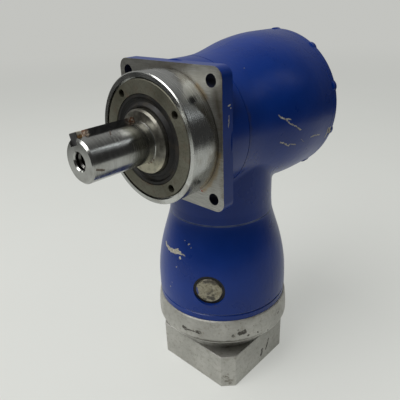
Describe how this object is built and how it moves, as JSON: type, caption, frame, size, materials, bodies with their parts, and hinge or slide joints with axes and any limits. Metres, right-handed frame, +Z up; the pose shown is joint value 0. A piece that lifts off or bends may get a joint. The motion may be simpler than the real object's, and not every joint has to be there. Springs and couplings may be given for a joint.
{
  "type": "right angle bevel gearbox",
  "caption": "Right-angle bevel gearbox with a square flange, keyed output shaft, round painted housing and an aluminium motor adapter with a clamping input.",
  "frame": {"origin": "centre of the motor mounting face, at the mouth of the motor pilot recess", "axes": "+Z up along the input axis, from the motor face to the bevel gears; the output shaft points along -Y at 175 mm height; +X completes the frame"},
  "size_m": [0.0924, 0.1575, 0.2218],
  "materials": {
    "blue_paint": "satin royal blue paint on cast metal, scratched and chipped in places",
    "flange_steel_and_paint": "machined steel face and pilot with oil staining; blue paint on the plate's sides and back",
    "cast_aluminium": "light grey cast and milled aluminium, stained",
    "seal_rubber": "black nitrile rubber, oily",
    "o_ring_rubber": "black rubber",
    "polished_cap": "bright metal cap, scuffed",
    "weathered_steel": "steel gone dull grey-brown with light rust",
    "ground_steel": "ground steel shaft",
    "black_key_steel": "blackened key steel with rust at its ends",
    "black_oxide_screw": "black oxide screw steel",
    "gear_steel": "case-hardened gear steel with an oil film",
    "bearing_steel": "polished bearing steel",
    "cage_brass": "machined brass",
    "machined_steel": "turned steel"
  },
  "bodies": {
    "housing": {"main_housing": "blue_paint", "output_flange": "flange_steel_and_paint", "flange_dowel_pins": "machined_steel", "rear_cover": "blue_paint", "rear_cover_screws": "black_oxide_screw", "rear_cover_o_ring": "o_ring_rubber", "input_bell": "blue_paint", "bell_screws": "black_oxide_screw", "access_plug": "polished_cap", "plug_seal_ring": "o_ring_rubber", "adapter_plate": "cast_aluminium", "adapter_screws": "black_oxide_screw", "bearing_lock_ring": "weathered_steel", "output_seal": "seal_rubber", "front_bearing_outer_race": "bearing_steel", "rear_bearing_outer_race": "bearing_steel", "upper_input_bearing_outer_race": "bearing_steel", "lower_input_bearing_outer_race": "bearing_steel", "input_outer_spacer": "machined_steel", "input_seal": "seal_rubber"},
    "output": {"output_shaft": "ground_steel", "shaft_key": "black_key_steel", "crown_gear": "gear_steel", "gear_key": "machined_steel", "gear_lock_nut": "machined_steel", "front_bearing_inner_race": "bearing_steel", "rear_bearing_inner_race": "bearing_steel"},
    "input": {"pinion_shaft": "gear_steel", "input_shaft_nut": "machined_steel", "clamping_ring": "machined_steel", "clamp_screw": "black_oxide_screw", "upper_input_bearing_inner_race": "bearing_steel", "lower_input_bearing_inner_race": "bearing_steel", "input_inner_spacer": "machined_steel"},
    "front_bearing_set": {"front_bearing_balls": "bearing_steel", "front_bearing_cage": "cage_brass"},
    "rear_bearing_set": {"rear_bearing_balls": "bearing_steel", "rear_bearing_cage": "cage_brass"},
    "upper_input_bearing_set": {"upper_input_bearing_balls": "bearing_steel", "upper_input_bearing_cage": "cage_brass"},
    "lower_input_bearing_set": {"lower_input_bearing_balls": "bearing_steel", "lower_input_bearing_cage": "cage_brass"}
  },
  "joints": [
    {"name": "output_spin", "type": "hinge", "parent": "housing", "child": "output", "pos_m": [0, 0, 0.175], "axis": [0, 1, 0], "continuous": true},
    {"name": "input_spin", "type": "hinge", "parent": "housing", "child": "input", "pos_m": [0, 0, 0.1], "axis": [0, 0, 1], "continuous": true},
    {"name": "front_bearing_roll", "type": "hinge", "parent": "housing", "child": "front_bearing_set", "pos_m": [0, -0.041, 0.175], "axis": [0, 1, 0], "continuous": true},
    {"name": "rear_bearing_roll", "type": "hinge", "parent": "housing", "child": "rear_bearing_set", "pos_m": [0, 0.0455, 0.175], "axis": [0, 1, 0], "continuous": true},
    {"name": "upper_input_bearing_roll", "type": "hinge", "parent": "housing", "child": "upper_input_bearing_set", "pos_m": [0, 0, 0.127], "axis": [0, 0, 1], "continuous": true},
    {"name": "lower_input_bearing_roll", "type": "hinge", "parent": "housing", "child": "lower_input_bearing_set", "pos_m": [0, 0, 0.11], "axis": [0, 0, 1], "continuous": true}
  ],
  "couplings": [
    {"joint": "input_spin", "follows": "output_spin", "ratio": 3},
    {"joint": "front_bearing_roll", "follows": "output_spin", "ratio": 0.4093},
    {"joint": "rear_bearing_roll", "follows": "output_spin", "ratio": 0.3988},
    {"joint": "upper_input_bearing_roll", "follows": "output_spin", "ratio": 1.2333},
    {"joint": "lower_input_bearing_roll", "follows": "output_spin", "ratio": 1.2333}
  ]
}
